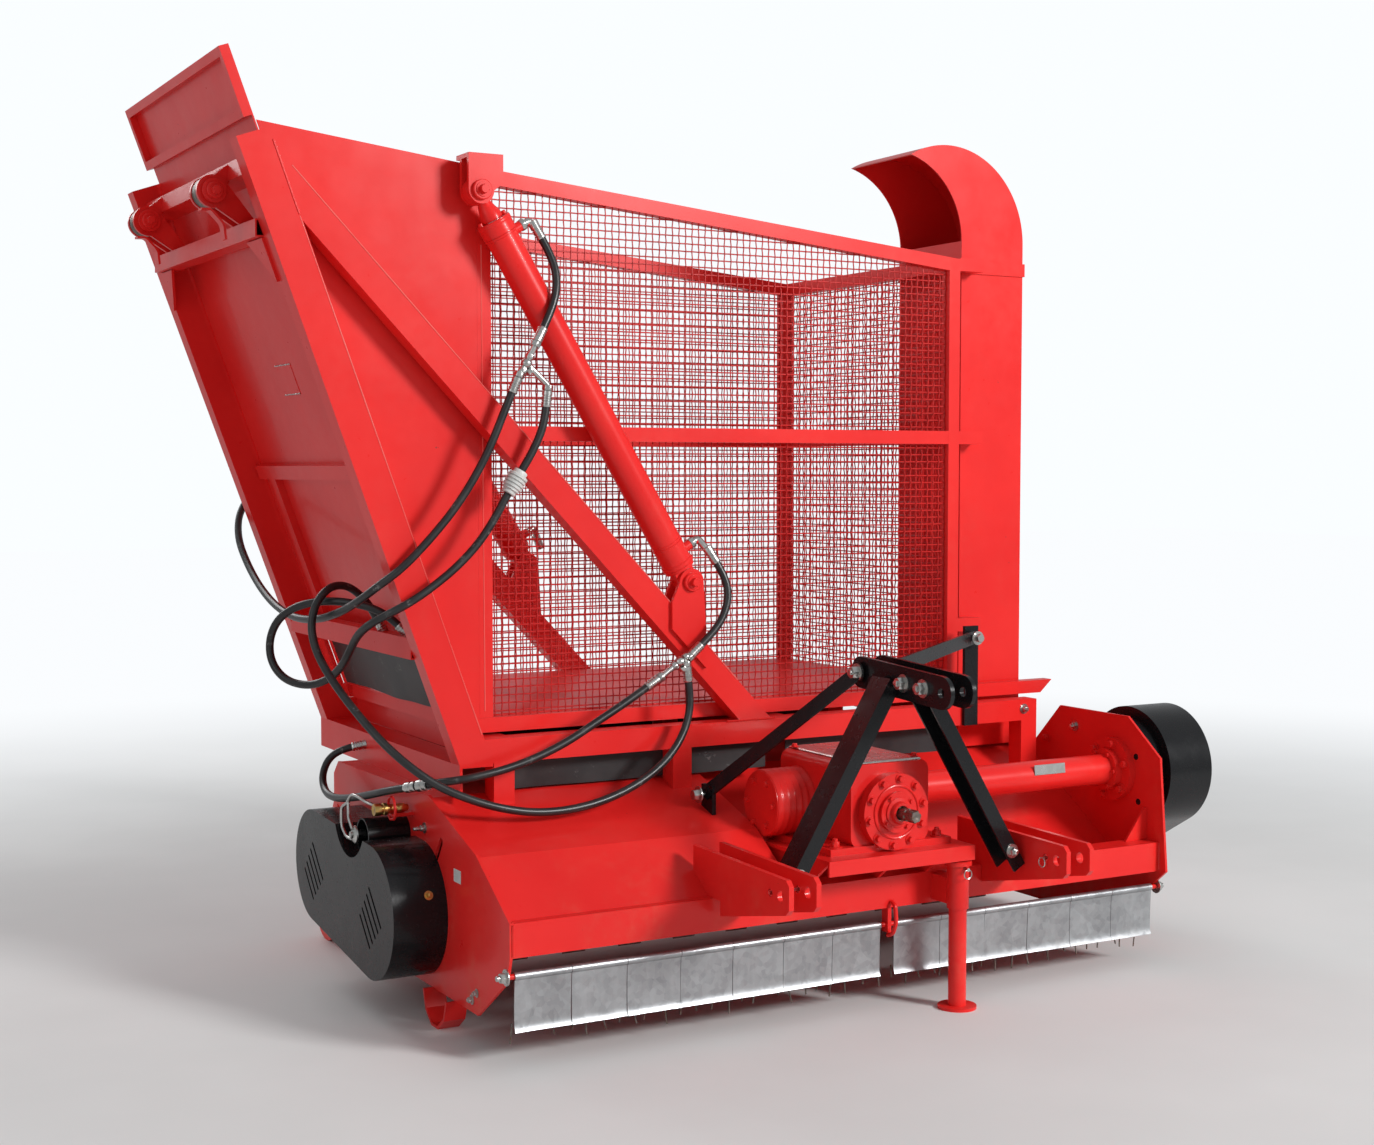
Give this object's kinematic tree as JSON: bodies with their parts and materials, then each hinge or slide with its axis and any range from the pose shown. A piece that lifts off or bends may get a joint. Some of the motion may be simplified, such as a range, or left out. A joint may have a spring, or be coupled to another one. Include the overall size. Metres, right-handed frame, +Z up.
{
  "type": "forage harvester",
  "caption": "Tractor-mounted flail forage harvester with a side-tipping mesh hopper on a leaning frame, a blower duct with a curved spout and a rear roller.",
  "frame": {"origin": "on the ground under the middle of the whole machine's box, measured without the loose hoses", "axes": "+X along the rotor to the right when the hitch is looked at, +Y from the hitch to the rear roller, +Z up from the ground"},
  "size_m": [2.877, 2.1283, 2.5181],
  "materials": {
    "red_paint": "gloss",
    "black_paint": "gloss",
    "bright_steel": "worn",
    "chrome": "polished",
    "zinc": "galvanised",
    "rubber": "matt",
    "cast": "painted",
    "brass": "satin"
  },
  "bodies": {
    "chassis": {"base_frame": "red_paint", "base_supports": "red_paint", "drive_tube": "red_paint", "fan_outlet": "red_paint", "flap_rod": "red_paint", "front_beam": "red_paint", "gearbox": "cast", "gearbox_table": "red_paint", "hinge_cheeks": "red_paint", "hose_1": "rubber", "hose_2": "rubber", "hose_3": "rubber", "hose_4": "rubber", "hose_5": "rubber", "hose_6": "rubber", "hose_coupler": "brass", "hose_fittings": "bright_steel", "jack_sleeve": "red_paint", "left_cover": "black_paint", "left_end_plate": "red_paint", "left_hood": "red_paint", "lower_ears": "red_paint", "mast_frame": "black_paint", "mast_stays": "black_paint", "rear_trough": "red_paint", "right_cover": "black_paint", "right_end_plate": "red_paint", "right_hood": "red_paint", "roller_arms": "red_paint", "rubber_aprons": "rubber", "side_skirt": "red_paint", "skids": "red_paint", "tip_columns": "red_paint", "tip_diagonals": "red_paint", "tip_rails": "red_paint", "tube_holder": "black_paint"},
    "rotor": {"rotor_tube": "bright_steel", "flails": "bright_steel"},
    "rear_roller": {"rear_roller": "red_paint"},
    "flaps_left": {"flaps_left": "zinc"},
    "flaps_right": {"flaps_right": "zinc"},
    "input_shaft": {"input_shaft": "bright_steel"},
    "jack_leg": {"jack_leg": "red_paint"},
    "barrel_front": {"barrel_front": "red_paint"},
    "rod_front": {"rod_front": "chrome"},
    "barrel_rear": {"barrel_rear": "red_paint"},
    "rod_rear": {"rod_rear": "chrome"},
    "hopper": {"hopper_rails": "red_paint", "hopper_floor": "red_paint", "hopper_sheets": "red_paint", "left_wall": "red_paint", "wall_apron": "rubber", "hopper_mesh": "red_paint", "hopper_hinges": "red_paint", "cylinder_ears": "red_paint", "blower_duct": "red_paint", "duct_tray": "red_paint", "duct_hood": "red_paint"}
  },
  "joints": [
    {"name": "rotor_spin", "type": "hinge", "parent": "chassis", "child": "rotor", "pos_m": [0.1735, -0.0329, 0.29], "axis": [1, 0, 0], "continuous": true},
    {"name": "roller_spin", "type": "hinge", "parent": "chassis", "child": "rear_roller", "pos_m": [0.1735, 0.8621, 0.1], "axis": [1, 0, 0], "continuous": true},
    {"name": "flaps_left_swing", "type": "hinge", "parent": "chassis", "child": "flaps_left", "pos_m": [-0.3265, -0.5879, 0.225], "axis": [1, 0, 0], "range_deg": [-15, 70]},
    {"name": "flaps_right_swing", "type": "hinge", "parent": "chassis", "child": "flaps_right", "pos_m": [0.6735, -0.5879, 0.225], "axis": [1, 0, 0], "range_deg": [-15, 70]},
    {"name": "input_spin", "type": "hinge", "parent": "chassis", "child": "input_shaft", "pos_m": [0.2035, -0.6679, 0.555], "axis": [0, -1, 0], "continuous": true},
    {"name": "jack_slide", "type": "slide", "parent": "chassis", "child": "jack_leg", "axis": [0, 0, 1], "range_m": [0, 0.095]},
    {"name": "hopper_tip", "type": "hinge", "parent": "chassis", "child": "hopper", "pos_m": [-1.3965, 0.4241, 2.17], "axis": [0, -1, 0], "range_deg": [0, 110]},
    {"name": "barrel_front_swing", "type": "hinge", "parent": "chassis", "child": "barrel_front", "pos_m": [-0.1175, -0.1296, 1.148], "axis": [0, -1, 0], "range_deg": [0, 12.09]},
    {"name": "rod_front_slide", "type": "slide", "parent": "barrel_front", "child": "rod_front", "axis": [-0.5163, 0, 0.8564], "range_m": [0, 1.0064]},
    {"name": "barrel_rear_swing", "type": "hinge", "parent": "chassis", "child": "barrel_rear", "pos_m": [-0.1175, 0.9778, 1.148], "axis": [0, -1, 0], "range_deg": [0, 12.09]},
    {"name": "rod_rear_slide", "type": "slide", "parent": "barrel_rear", "child": "rod_rear", "axis": [-0.5163, 0, 0.8564], "range_m": [0, 1.0064]}
  ],
  "couplings": [
    {"joint": "barrel_front_swing", "follows": "hopper_tip", "ratio": 0.10972},
    {"joint": "rod_front_slide", "follows": "hopper_tip", "m_per_rad": 0.52395},
    {"joint": "barrel_rear_swing", "follows": "hopper_tip", "ratio": 0.10972},
    {"joint": "rod_rear_slide", "follows": "hopper_tip", "m_per_rad": 0.52395}
  ]
}
